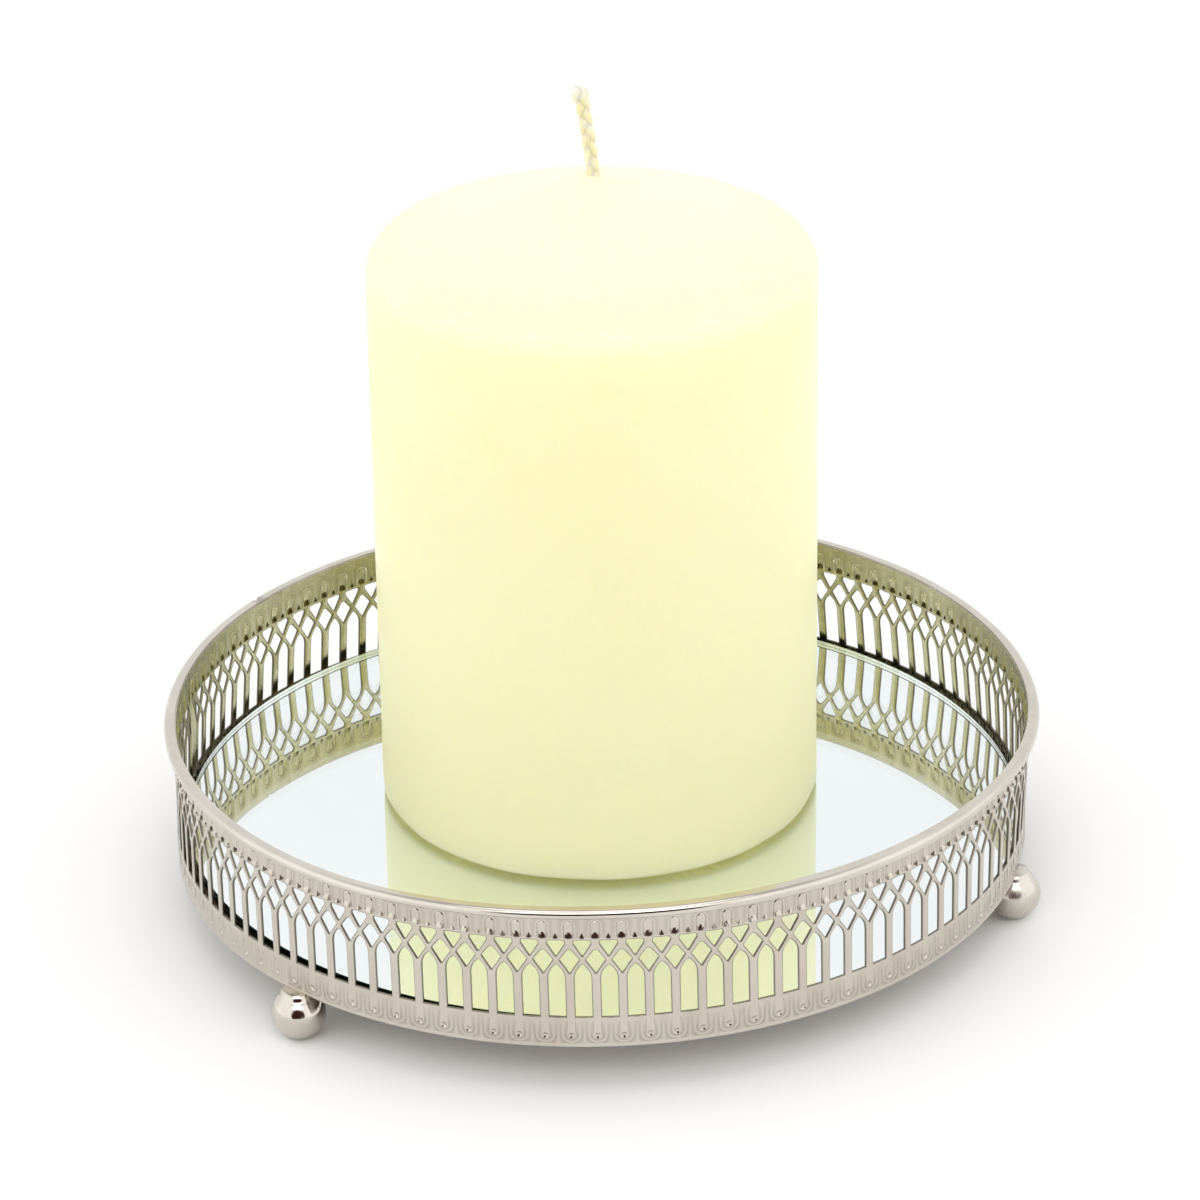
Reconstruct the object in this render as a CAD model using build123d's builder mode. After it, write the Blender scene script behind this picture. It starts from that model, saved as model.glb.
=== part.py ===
from build123d import *
import os
from math import asin, cos, degrees, pi, radians, sin

# Round mirrored candle plate with a pierced gallery, standing on three ball feet,
# with the pillar candle that it carries.
# Millimetres, +Z up. The origin is on the table, under the middle of the tray.
# An azimuth is counted from the front (-Y) towards the right (+X).

# Ball feet
foot_dia = 9.8
foot_seat_depth = 0.15        # how deep the flat is cut where the tray is brazed on
foot_rest_depth = 0.10        # how deep the worn flat is that meets the table
foot_inset = 0.75             # the balls' centres lie this far inside the gallery's outer face
foot_count = 3
first_foot_azimuth = -44.7
foot_names = ["ball_foot_left", "ball_foot_right", "ball_foot_rear"]

# Gallery strip, pierced sheet bent round and lapped
strip_outer_dia = 156.7
strip_sheet = 0.5
strip_height = 26.8
seam_azimuth = -102.85
seam_span = 8.9               # from the last arch to the first one, across the lap
seam_slit = 0.3               # the open end line of the outer layer
seam_root = 1.2               # where the inner layer joins the outer one
seam_tail = 3.6               # how far the inner layer runs on behind the outer one
fit_gap = 0.05                # between one bent sheet and the next

# Arcade pattern in the strip
arch_pitch = 4.546
arch_width = 3.03
arch_sill = 6.10              # above the strip's lower edge
arch_spring = 14.0            # where the straight sides end
arch_apex = 16.2
crossing_level = 17.2         # where the lattice bars cross
diamond_width = 3.25
diamond_foot = 14.65
diamond_top = 19.15
triangle_width = 2.95
triangle_tip = 17.95
triangle_top = 21.15

# Rim, an angle of bent sheet that caps the strip
rim_overhang = 1.65           # how far the flange stands out beyond the strip
rim_sheet = 0.5
rim_leg = 1.6                 # how far the rim's leg comes down outside the strip
rim_edge_radius = 0.22
rim_gap = 0.8                 # open butt joint
rim_gap_azimuth = -125.1

# Base pan and what lies in it
pan_sheet = 0.6
pan_flange_height = 3.7
pan_bend_radius = 0.5
board_thickness = 3.0
board_clearance = 0.6         # between the board and the pan's flange
tape_thickness = 0.4
tape_width = 14.0
tape_spacing = 42.0
tape_end_clearance = 6.0      # from the tape's end to the edge of the board
tape_count = 3
mirror_edge_gap = 0.85        # between the glass and the strip, where it is centred
mirror_thickness = 2.0
mirror_edge_chamfer = 0.25
mirror_shift_x = 0.3
mirror_shift_y = -0.3

# Pillar candle
candle_dia = 81.0
candle_side_height = 106.5    # to the corner that the shoulder rounds off
candle_crown_rise = 13.6      # the top is a low cone
candle_shoulder_radius = 4.3
candle_foot_radius = 0.8
candle_shift_x = 0.8
candle_shift_y = 10.0
wick_dia = 2.6
wick_free_length = 17.8
wick_lean = 2.3
wick_bore_clearance = 0.05

# One overrun serves all cuts
overrun = 2.0

# Worked out from the sizes above
strip_outer_r = strip_outer_dia / 2
strip_inner_r = strip_outer_r - strip_sheet
rim_r = strip_outer_r + rim_overhang
mirror_r = strip_inner_r - mirror_edge_gap
foot_r = foot_dia / 2
foot_circle_r = strip_outer_r - foot_inset
foot_centre_z = foot_r - foot_rest_depth
tray_base_z = foot_centre_z + foot_r - foot_seat_depth
strip_top_z = tray_base_z + strip_height
pan_outer_r = strip_inner_r - fit_gap
pan_inner_r = pan_outer_r - pan_sheet
pan_floor_z = tray_base_z + pan_sheet
board_r = pan_inner_r - board_clearance
board_top_z = pan_floor_z + board_thickness
mirror_bottom_z = board_top_z + tape_thickness
mirror_top_z = mirror_bottom_z + mirror_thickness
candle_r = candle_dia / 2
candle_centre = (candle_shift_x, candle_shift_y)

# The arches fill the round from one side of the lap to the other
strip_round = pi * strip_outer_dia
seam_angle = 360 * seam_span / strip_round
arch_count = 1 + round((strip_round - seam_span) / arch_pitch)
arch_step = (360 - seam_angle) / (arch_count - 1)
first_arch_azimuth = seam_azimuth + seam_angle / 2


def wall_plane(azimuth, radius):
    # An upright plane that faces outwards, its Y axis up and its zero at the strip's lower edge
    a = radians(azimuth)
    return Plane(
        origin=(radius * sin(a), -radius * cos(a), tray_base_z),
        x_dir=(cos(a), sin(a), 0),
        z_dir=(sin(a), -cos(a), 0),
    )


def turn_of(length, radius):
    # The angle, in degrees, that an arc of this length spans
    return degrees(length / radius)


os.makedirs("parts", exist_ok=True)

# Base pan: a round sheet with its edge turned up inside the strip
with BuildPart() as base_pan:
    with BuildSketch(Plane.XZ):
        with BuildLine():
            Polyline(
                (0, tray_base_z),
                (pan_outer_r, tray_base_z),
                (pan_outer_r, pan_floor_z + pan_flange_height - pan_sheet),
                (pan_inner_r, pan_floor_z + pan_flange_height - pan_sheet),
                (pan_inner_r, pan_floor_z),
                (0, pan_floor_z),
                close=True,
            )
        make_face()
    revolve(axis=Axis.Z)
    bend = base_pan.edges().filter_by(GeomType.CIRCLE)
    inner_bend = bend.filter_by(lambda e: abs(e.radius - pan_inner_r) < fit_gap).sort_by(Axis.Z)[0]
    outer_bend = bend.filter_by(lambda e: abs(e.radius - pan_outer_r) < fit_gap).sort_by(Axis.Z)[0]
    fillet(outer_bend, pan_bend_radius)
    fillet(inner_bend, pan_bend_radius / 2)
base_pan.part.label = "base_pan"

# Backing board: lifts the mirror to the sill of the arches
with BuildPart() as backing_board:
    with BuildSketch(Plane.XY.offset(pan_floor_z)):
        Circle(board_r)
    extrude(amount=board_thickness)
backing_board.part.label = "backing_board"

# Mirror tape: strips of double-sided tape on the board
with BuildPart() as mirror_tape:
    for number in range(tape_count):
        tape_y = (number - (tape_count - 1) / 2) * tape_spacing
        half_chord = (board_r**2 - (abs(tape_y) + tape_width / 2) ** 2) ** 0.5
        with BuildSketch(Plane.XY.offset(board_top_z)):
            with Locations((0, tape_y)):
                Rectangle(2 * (half_chord - tape_end_clearance), tape_width)
        extrude(amount=tape_thickness)
mirror_tape.part.label = "mirror_tape"

# Mirror glass: a cut disc with its edges ground, seated a little off centre
with BuildPart() as mirror_glass:
    with BuildSketch(Plane.XY.offset(mirror_bottom_z)):
        with Locations((mirror_shift_x, mirror_shift_y)):
            Circle(mirror_r)
    extrude(amount=mirror_thickness)
    chamfer(mirror_glass.edges().filter_by(GeomType.CIRCLE), mirror_edge_chamfer)
mirror_glass.part.label = "mirror_glass"

# Gallery strip: the ring of sheet, its lapped seam, then the pierced arcade
outer_end_azimuth = seam_azimuth + turn_of(seam_tail / 2, strip_inner_r)
lap_outer_r = strip_inner_r - fit_gap
lap_inner_r = lap_outer_r - strip_sheet
with BuildPart() as gallery_strip:
    with BuildSketch(Plane.XY.offset(tray_base_z)):
        Circle(strip_outer_r)
        Circle(strip_inner_r, mode=Mode.SUBTRACT)
    extrude(amount=strip_height)
    # The end line of the outer layer
    with BuildSketch(wall_plane(outer_end_azimuth, strip_inner_r - overrun)):
        with Locations((0, strip_height / 2)):
            Rectangle(seam_slit, strip_height + 2 * overrun)
    extrude(amount=strip_sheet + 2 * overrun, mode=Mode.SUBTRACT)
    # The inner layer: joined beyond the slit, free behind the outer layer, clear of the pan
    lap_foot_z = pan_floor_z + pan_flange_height - pan_sheet + fit_gap
    slit_turn = turn_of(seam_slit / 2, strip_inner_r)
    root_turn = turn_of(seam_root, strip_inner_r)
    tail_turn = turn_of(seam_tail, strip_inner_r)
    lap_sectors = [
        (strip_inner_r + fit_gap, outer_end_azimuth + slit_turn),
        (lap_outer_r, outer_end_azimuth - tail_turn),
    ]
    for sector_outer_r, start_azimuth in lap_sectors:
        with BuildSketch(Plane.XY.offset(lap_foot_z)):
            turn = outer_end_azimuth + root_turn - start_azimuth
            with BuildLine():
                outer = CenterArc((0, 0), sector_outer_r, start_azimuth - 90, turn)
                inner = CenterArc((0, 0), lap_inner_r, start_azimuth - 90, turn)
                Line(outer @ 0, inner @ 0)
                Line(outer @ 1, inner @ 1)
            make_face()
        extrude(amount=strip_top_z - lap_foot_z)
    # Arches, with the small triangles over them
    arch_azimuths = [first_arch_azimuth + n * arch_step for n in range(arch_count)]
    with BuildSketch(*[wall_plane(a, strip_inner_r - overrun) for a in arch_azimuths]):
        half = arch_width / 2
        with BuildLine():
            Polyline((-half, arch_spring), (-half, arch_sill), (half, arch_sill), (half, arch_spring))
            TangentArc((half, arch_spring), (0, arch_apex), tangent=(0, 1))
            TangentArc((-half, arch_spring), (0, arch_apex), tangent=(0, 1))
        make_face()
        with BuildLine():
            Polyline(
                (0, triangle_tip),
                (triangle_width / 2, triangle_top),
                (-triangle_width / 2, triangle_top),
                close=True,
            )
        make_face()
    extrude(amount=strip_sheet + 2 * overrun, mode=Mode.SUBTRACT)
    # Diamonds over the posts between two arches
    post_azimuths = [a + arch_step / 2 for a in arch_azimuths[:-1]]
    with BuildSketch(*[wall_plane(a, strip_inner_r - overrun) for a in post_azimuths]):
        with BuildLine():
            Polyline(
                (0, diamond_foot),
                (diamond_width / 2, crossing_level),
                (0, diamond_top),
                (-diamond_width / 2, crossing_level),
                close=True,
            )
        make_face()
    extrude(amount=strip_sheet + 2 * overrun, mode=Mode.SUBTRACT)
gallery_strip.part.label = "gallery_strip"

# Rim: its flange lies on the strip's top edge, its leg comes down outside
leg_inner_r = strip_outer_r + fit_gap
with BuildPart() as rim_binding:
    with BuildSketch(Plane.XZ):
        with BuildLine():
            Polyline(
                (strip_inner_r, strip_top_z),
                (leg_inner_r, strip_top_z),
                (leg_inner_r, strip_top_z - rim_leg),
                (leg_inner_r + rim_sheet, strip_top_z - rim_leg),
                (leg_inner_r + rim_sheet, strip_top_z),
                (rim_r, strip_top_z),
                (rim_r, strip_top_z + rim_sheet),
                (strip_inner_r, strip_top_z + rim_sheet),
                close=True,
            )
        make_face()
    revolve(axis=Axis.Z)
    rim_circles = rim_binding.edges().filter_by(GeomType.CIRCLE)
    outer_edges = rim_circles.filter_by(lambda e: abs(e.radius - rim_r) < fit_gap)
    top_inner = rim_circles.filter_by(lambda e: abs(e.radius - strip_inner_r) < fit_gap).sort_by(Axis.Z)[-1]
    fillet(outer_edges, rim_edge_radius)
    fillet(top_inner, rim_edge_radius)
    with BuildSketch(wall_plane(rim_gap_azimuth, strip_inner_r - overrun)):
        with Locations((0, strip_height)):
            Rectangle(rim_gap, 2 * (rim_leg + overrun))
    extrude(amount=rim_r - strip_inner_r + 2 * overrun, mode=Mode.SUBTRACT)
rim_binding.part.label = "rim_binding"

# Ball feet: brazed by a small flat to the lower edge of the strip and the pan
feet = []
for number, name in enumerate(foot_names):
    a = radians(first_foot_azimuth + number * 360 / foot_count)
    foot_x = foot_circle_r * sin(a)
    foot_y = -foot_circle_r * cos(a)
    with BuildPart() as ball_foot:
        with Locations((foot_x, foot_y, foot_centre_z)):
            Sphere(foot_r)
        split(bisect_by=Plane.XY.offset(tray_base_z), keep=Keep.BOTTOM)
        split(bisect_by=Plane.XY, keep=Keep.TOP)
    ball_foot.part.label = name
    feet.append(ball_foot)

# Candle wax: a pillar with a rounded shoulder and a low conical top, bored for its wick
bore_r = wick_dia / 2 + wick_bore_clearance
with BuildPart() as candle_wax:
    with BuildSketch(Plane(origin=(*candle_centre, mirror_top_z), x_dir=(1, 0, 0), z_dir=(0, -1, 0))):
        with BuildLine():
            FilletPolyline(
                (0, candle_side_height + candle_crown_rise),
                (0, 0),
                (candle_r, 0),
                (candle_r, candle_side_height),
                close=True,
                radius=[0, 0, candle_foot_radius, candle_shoulder_radius],
            )
        make_face()
    revolve(axis=Axis(origin=(*candle_centre, 0), direction=(0, 0, 1)))
    with BuildSketch(Plane.XY.offset(mirror_top_z)):
        with Locations(candle_centre):
            Circle(bore_r)
    extrude(amount=candle_side_height + candle_crown_rise + overrun, mode=Mode.SUBTRACT)
candle_wax.part.label = "candle_wax"

# Candle wick: straight through the wax, then one gentle bend to the left
wick_foot_z = mirror_top_z + wick_bore_clearance
wick_bend_z = mirror_top_z + candle_side_height + candle_crown_rise
wick_bend_r = (wick_free_length**2 + wick_lean**2) / (2 * wick_lean)
half_turn = asin(wick_free_length / wick_bend_r) / 2
wick_middle = (-wick_bend_r * (1 - cos(half_turn)), wick_bend_z + wick_bend_r * sin(half_turn))
wick_plane = Plane(origin=(*candle_centre, 0), x_dir=(1, 0, 0), z_dir=(0, -1, 0))
with BuildPart() as candle_wick:
    with BuildLine(wick_plane) as wick_path:
        Line((0, wick_foot_z), (0, wick_bend_z))
        ThreePointArc((0, wick_bend_z), wick_middle, (-wick_lean, wick_bend_z + wick_free_length))
    with BuildSketch(Plane(origin=(*candle_centre, wick_foot_z))):
        Circle(wick_dia / 2)
    sweep(path=wick_path.line)
candle_wick.part.label = "candle_wick"

pieces = [base_pan, backing_board, mirror_tape, mirror_glass, gallery_strip, rim_binding, *feet,
          candle_wax, candle_wick]
for piece in pieces:
    export_step(piece.part, "parts/" + piece.part.label + ".step")
print("arches", arch_count, "step", round(arch_step, 3), "mirror top", round(mirror_top_z, 2))
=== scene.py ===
# %% [markdown]
# # A mirrored candle plate with a pierced gallery
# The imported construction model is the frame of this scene: it says where each piece is and what rides
# with what. Here the pieces get their finish, and the ones with fine relief are modelled anew in place.

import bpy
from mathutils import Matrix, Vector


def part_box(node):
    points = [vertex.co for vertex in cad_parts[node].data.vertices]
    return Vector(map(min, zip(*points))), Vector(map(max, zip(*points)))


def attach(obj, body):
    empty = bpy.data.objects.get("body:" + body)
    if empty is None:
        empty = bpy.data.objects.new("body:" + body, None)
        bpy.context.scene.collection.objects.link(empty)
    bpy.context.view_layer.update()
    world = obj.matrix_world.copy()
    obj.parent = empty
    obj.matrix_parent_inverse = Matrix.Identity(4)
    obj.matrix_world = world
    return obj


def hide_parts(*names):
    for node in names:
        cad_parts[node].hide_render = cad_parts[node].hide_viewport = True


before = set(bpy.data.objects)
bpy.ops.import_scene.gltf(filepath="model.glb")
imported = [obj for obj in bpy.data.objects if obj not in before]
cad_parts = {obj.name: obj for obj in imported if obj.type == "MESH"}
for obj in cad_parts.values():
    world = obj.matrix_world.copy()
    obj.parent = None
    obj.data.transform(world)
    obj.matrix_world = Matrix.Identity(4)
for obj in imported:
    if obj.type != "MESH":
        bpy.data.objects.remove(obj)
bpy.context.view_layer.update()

import math

import bpy
import numpy as np
from mathutils import Matrix, Vector
from mathutils.geometry import delaunay_2d_cdt

mm = 0.001

# %% [markdown]
# ## Sizes that the pieces share
# All of them come from the frame, so nothing has to be fitted later: the wall of the gallery, the levels
# of the tray, and the place of the candle.

# %% Read the frame's sizes
strip_low, strip_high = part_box("gallery_strip")
rim_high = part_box("rim_binding")[1]
glass_low, glass_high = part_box("mirror_glass")
wax_low, wax_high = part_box("candle_wax")
wick_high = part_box("candle_wick")[1]

wall_r = round(strip_high.x / mm, 2) * mm
wall_sheet = 0.5 * mm
wall_foot_z = strip_low.z
wall_top_z = strip_high.z
mirror_z = glass_high.z
candle_axis = Vector(((wax_low.x + wax_high.x) / 2, (wax_low.y + wax_high.y) / 2, 0))
print("gallery radius", wall_r / mm, "levels", wall_foot_z / mm, wall_top_z / mm, "mirror", mirror_z / mm)

# %% [markdown]
# ## The camera
# A product photograph of a small plate is taken with a long lens from a little above. The place and the
# tilt were worked out from the rim's ellipse and the candle's outline, and the lens from how little the
# arches shrink towards the back.

# %% Place the camera
camera_place = Vector((0.08, -888.93, 492.6)) * mm
camera_pitch = math.radians(26.096)
camera_roll = math.radians(-1.681)
camera_yaw = math.radians(0.057)
camera_lens = 163.1


def add_camera():
    forward = Vector((
        math.sin(camera_yaw) * math.cos(camera_pitch),
        math.cos(camera_yaw) * math.cos(camera_pitch),
        -math.sin(camera_pitch),
    ))
    level_right = forward.cross(Vector((0, 0, 1))).normalized()
    level_up = level_right.cross(forward)
    right = level_right * math.cos(camera_roll) + level_up * math.sin(camera_roll)
    up = level_up * math.cos(camera_roll) - level_right * math.sin(camera_roll)
    data = bpy.data.cameras.new("camera")
    data.lens = camera_lens
    data.sensor_width = 36
    camera = bpy.data.objects.new("camera", data)
    turn = Matrix((right, up, -forward)).transposed().to_4x4()
    camera.matrix_world = Matrix.Translation(camera_place) @ turn
    bpy.context.scene.collection.objects.link(camera)
    return camera


bpy.context.scene.camera = add_camera()
bpy.context.scene.view_settings.view_transform = "Standard"

# %% [markdown]
# ## A white studio
# The plate stands in a tent of white cloth: light comes from all round, most from a soft box overhead and
# one above the camera. Bright metal shows what is around it, so the tent has one darker place, the gap
# that the camera looks through. It draws the dark spots in the stamped beads and on the ball feet, and
# the boxes draw their highlights. The places were read from what the left ball foot reflects. Lamps could
# do this too, but soft patches on the world give the same reflections with less noise.

# %% Light the studio
backdrop_level = 1.02
backdrop_from, backdrop_to = 0.1, 0.7
side_level = 1.35
top_level = 0.62
top_from, top_to = 0.7, 0.95
gap_colour = (0.06, 0.022, 0.02, 1)
front_box_colour = (3.4, 3.4, 3.34, 1)
overhead_box_colour = (1.6, 1.6, 1.58, 1)
# Each patch has a direction in degrees (azimuth, elevation), and half its width and height
gap_patch = (0, 13, 0.42, 0.31)
overhead_patch = (0, 81, 0.32, 0.30)
front_patch = (0, 45, 0.36, 0.15)
gap_softness = 0.35
box_softness = 0.3


def add_node(tree, kind, values, **settings):
    # settings are choices of the node itself. values go to its inputs, where an output becomes a link
    node = tree.nodes.new(kind)
    for name, setting in settings.items():
        setattr(node, name, setting)
    return feed(tree, node, values)


def feed(tree, node, values):
    for name, value in values.items():
        if isinstance(value, (int, float, tuple)):
            node.inputs[name].default_value = value
        else:
            tree.links.new(value, node.inputs[name])
    return node


def math_node(tree, operation, *values):
    return add_node(tree, "ShaderNodeMath", dict(enumerate(values)), operation=operation).outputs[0]


def vector_node(tree, operation, first, second):
    node = add_node(tree, "ShaderNodeVectorMath", {0: first, 1: second}, operation=operation)
    return node.outputs["Value" if operation == "LENGTH" else "Vector"]


def ramp_node(tree, value, low, high, to_low=0.0, to_high=1.0):
    levels = {"Value": value, "From Min": low, "From Max": high, "To Min": to_low, "To Max": to_high}
    node = add_node(tree, "ShaderNodeMapRange", levels, interpolation_type="SMOOTHSTEP")
    return node.outputs["Result"]


def mix_node(tree, factor, first, second):
    # The kind of mix is chosen first, because the inputs A and B depend on it
    values = {"Factor": factor, "A": first, "B": second}
    return add_node(tree, "ShaderNodeMix", values, data_type="RGBA").outputs["Result"]


def patch_mask(tree, direction, patch, softness):
    # 1 inside a soft-edged patch of the tent, 0 outside
    azimuth, elevation, half_width, half_height = patch
    up = math.radians(elevation)
    side = math.radians(azimuth)
    middle = (math.sin(side) * math.cos(up), -math.cos(side) * math.cos(up), math.sin(up))
    offset = vector_node(tree, "SUBTRACT", direction, middle)
    shrink = (1 / half_width, 1 / half_height, 1 / half_height)
    scaled = vector_node(tree, "MULTIPLY", offset, shrink)
    reach = vector_node(tree, "LENGTH", scaled, (0, 0, 0))
    return ramp_node(tree, reach, 1, 1 + softness, 1, 0)


def make_tent():
    world = bpy.data.worlds.new("white_tent")
    world.use_nodes = True
    tree = world.node_tree
    tree.nodes.clear()
    direction = tree.nodes.new("ShaderNodeTexCoord").outputs["Generated"]
    split = add_node(tree, "ShaderNodeSeparateXYZ", {0: direction})
    around = ramp_node(tree, split.outputs["Y"], backdrop_from, backdrop_to, side_level, backdrop_level)
    above = ramp_node(tree, split.outputs["Z"], top_from, top_to)
    cloth = mix_node(tree, above, around, (top_level, top_level, top_level, 1))
    rays = tree.nodes.new("ShaderNodeLightPath")
    # Only metal shows the gap. What leaves the mirror's glass sees white cloth from every side
    from_metal = math_node(tree, "SUBTRACT", 1.0, rays.outputs["Is Transmission Ray"])
    gap = patch_mask(tree, direction, gap_patch, gap_softness)
    cloth = mix_node(tree, math_node(tree, "MULTIPLY", gap, from_metal), cloth, gap_colour)
    for patch, colour in ((overhead_patch, overhead_box_colour), (front_patch, front_box_colour)):
        mask = patch_mask(tree, direction, patch, box_softness)
        cloth = mix_node(tree, mask, cloth, colour)
    # The camera sees plain white behind the plate, and everything else sees the tent
    tent = add_node(tree, "ShaderNodeBackground", {"Color": cloth}).outputs[0]
    plain = add_node(tree, "ShaderNodeBackground", {"Color": (1, 1, 1, 1)}).outputs[0]
    to_camera = rays.outputs["Is Camera Ray"]
    choose = add_node(tree, "ShaderNodeMixShader", {0: to_camera, 1: tent, 2: plain})
    add_node(tree, "ShaderNodeOutputWorld", {"Surface": choose.outputs[0]})
    bpy.context.scene.world = world


make_tent()

# %% [markdown]
# ## The floor
# White card. It keeps the plate's soft shadow. A diffuse card can never send back all the light it gets,
# so for the camera a little is added, and the open floor comes out white.

# %% Lay the floor
floor_half = 4.0
floor_white = 0.90
floor_lift = 0.03


def lay_floor():
    corners = [(x * floor_half, y * floor_half, 0) for x, y in ((-1, -1), (1, -1), (1, 1), (-1, 1))]
    mesh = bpy.data.meshes.new("floor")
    mesh.from_pydata(corners, [], [(0, 1, 2, 3)])
    floor = bpy.data.objects.new("floor", mesh)
    bpy.context.scene.collection.objects.link(floor)
    card = bpy.data.materials.new("white_card")
    card.use_nodes = True
    tree = card.node_tree
    rays = tree.nodes.new("ShaderNodeLightPath")
    lift = math_node(tree, "MULTIPLY", rays.outputs["Is Camera Ray"], floor_lift)
    white = (floor_white, floor_white, floor_white, 1)
    matt = {"Base Color": white, "Roughness": 1, "Specular IOR Level": 0}
    glow = {"Emission Color": (1, 1, 1, 1), "Emission Strength": lift}
    feed(tree, tree.nodes["Principled BSDF"], {**matt, **glow})
    mesh.materials.append(card)


lay_floor()

# %% [markdown]
# ## Effects that several finishes share
# Real surfaces are never quite even. Three small node groups carry that: scuffs give short worn streaks,
# drift moves a colour a little from place to place, and grain gives a fine height for a bump. Each is
# built once, and every material sets its own scale and strength.

# %% Build the shared effects


def new_group(name, inputs, outputs):
    group = bpy.data.node_groups.new(name, "ShaderNodeTree")
    for socket, kind, start in inputs:
        made = group.interface.new_socket(name=socket, in_out="INPUT", socket_type=kind)
        made.default_value = start
    for socket, kind in outputs:
        group.interface.new_socket(name=socket, in_out="OUTPUT", socket_type=kind)
    return group, group.nodes.new("NodeGroupInput"), group.nodes.new("NodeGroupOutput")


def noise_node(tree, place, scale, detail=3.0, distortion=0.0):
    values = {"Vector": place, "Scale": scale, "Detail": detail, "Distortion": distortion}
    return add_node(tree, "ShaderNodeTexNoise", values).outputs["Fac"]


def build_scuffs():
    tree, given, out = new_group(
        "scuffs",
        [("Scale", "NodeSocketFloat", 300.0), ("Amount", "NodeSocketFloat", 0.5)],
        [("Mask", "NodeSocketFloat"), ("Height", "NodeSocketFloat")],
    )
    place = tree.nodes.new("ShaderNodeTexCoord").outputs["Object"]
    stretched = vector_node(tree, "MULTIPLY", place, (1.0, 1.0, 0.22))
    streak = noise_node(tree, stretched, given.outputs["Scale"], 5.0, 1.4)
    coarse = math_node(tree, "MULTIPLY", given.outputs["Scale"], 0.18)
    blot = noise_node(tree, place, coarse, 2.0, 0.6)
    sharp = ramp_node(tree, streak, 0.5, 0.68)
    where = ramp_node(tree, blot, 0.4, 0.62)
    both = math_node(tree, "MULTIPLY", sharp, where)
    mask = math_node(tree, "MULTIPLY", both, given.outputs["Amount"])
    tree.links.new(mask, out.inputs["Mask"])
    tree.links.new(math_node(tree, "MULTIPLY", streak, blot), out.inputs["Height"])
    return tree


def build_drift():
    tree, given, out = new_group(
        "colour_drift",
        [("Color", "NodeSocketColor", (0.8, 0.8, 0.8, 1)), ("Other", "NodeSocketColor", (0.6, 0.6, 0.6, 1)),
         ("Scale", "NodeSocketFloat", 60.0), ("Amount", "NodeSocketFloat", 0.3)],
        [("Color", "NodeSocketColor")],
    )
    place = tree.nodes.new("ShaderNodeTexCoord").outputs["Object"]
    cloud = noise_node(tree, place, given.outputs["Scale"], 3.0, 0.3)
    share = ramp_node(tree, cloud, 0.32, 0.7)
    share = math_node(tree, "MULTIPLY", share, given.outputs["Amount"])
    colour = mix_node(tree, share, given.outputs["Color"], given.outputs["Other"])
    tree.links.new(colour, out.inputs["Color"])
    return tree


def build_grain():
    tree, given, out = new_group(
        "fine_grain",
        [("Scale", "NodeSocketFloat", 1500.0), ("Coarse", "NodeSocketFloat", 0.3)],
        [("Height", "NodeSocketFloat")],
    )
    place = tree.nodes.new("ShaderNodeTexCoord").outputs["Object"]
    fine = noise_node(tree, place, given.outputs["Scale"], 2.0)
    wide_scale = math_node(tree, "MULTIPLY", given.outputs["Scale"], 0.12)
    wide = noise_node(tree, place, wide_scale, 2.0, 0.5)
    wide = math_node(tree, "MULTIPLY", wide, given.outputs["Coarse"])
    tree.links.new(math_node(tree, "ADD", fine, wide), out.inputs["Height"])
    return tree


scuffs_group = build_scuffs()
drift_group = build_drift()
grain_group = build_grain()
print("shared effects:", [group.name for group in bpy.data.node_groups])

# %% [markdown]
# ## Starting a finish
# Every finish here starts from the Principled shader. It could be built node by node each time, but these
# helpers keep each recipe short: start it, place a shared effect in it, let its colour drift, add a bump.

# %% Helpers for a finish


def start_finish(name, metallic=0.0, roughness=0.5):
    material = bpy.data.materials.new(name)
    material.use_nodes = True
    tree = material.node_tree
    shader = feed(tree, tree.nodes["Principled BSDF"], {"Metallic": metallic, "Roughness": roughness})
    return material, tree, shader


def place_group(tree, group, **values):
    return add_node(tree, "ShaderNodeGroup", values, node_tree=group)


def drifting(tree, colour, other, scale, amount):
    # A colour that moves towards another one from place to place
    drift = place_group(tree, drift_group, Color=colour, Other=other, Scale=scale, Amount=amount)
    return drift.outputs["Color"]


def object_height(tree):
    place = tree.nodes.new("ShaderNodeTexCoord").outputs["Object"]
    return add_node(tree, "ShaderNodeSeparateXYZ", {0: place}).outputs["Z"]


def add_bump(tree, shader, height, distance, strength=1.0):
    values = {"Distance": distance, "Strength": strength, "Height": height}
    bump = add_node(tree, "ShaderNodeBump", values)
    tree.links.new(bump.outputs["Normal"], shader.inputs["Normal"])


# %% [markdown]
# ## The metal
# The sheet is nickel plated: bright, a little warm, with fine streaks from rolling and wiping. Dirt and
# painted shade darken the grooves and the folds of the rim, painted shade darkens the steep slopes of the
# relief, and a painted dark reflection darkens the cut edges. A pointiness node could find those, but the
# mesh code knows them exactly, so it leaves a value at each point. The inner side of the gallery is duller,
# and its
# colour is darker and more yellow: painted shade and a painted reflection of the candle.

# %% Finish the metal
nickel_colour = (0.665, 0.618, 0.558, 1)
nickel_worn_colour = (0.555, 0.508, 0.436, 1)
sheet_colour = (0.625, 0.572, 0.508, 1)
sheet_worn_colour = (0.52, 0.468, 0.395, 1)
# Dirt and painted shade: grooves, slopes, folds and cut edges are darkened towards this colour
dirt_and_shade_colour = (0.085, 0.072, 0.048, 1)
# The inner side gets a darker, more yellow copy of the sheet's colour: painted shade and a painted
# reflection of the candle
inner_painted_shade_colour = (0.56, 0.52, 0.33, 1)
inner_worn_painted_shade_colour = (0.44, 0.40, 0.24, 1)
dirt_and_shade_strength = 0.86
groove_roughness = 0.2
scuff_roughness = 0.32


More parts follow.
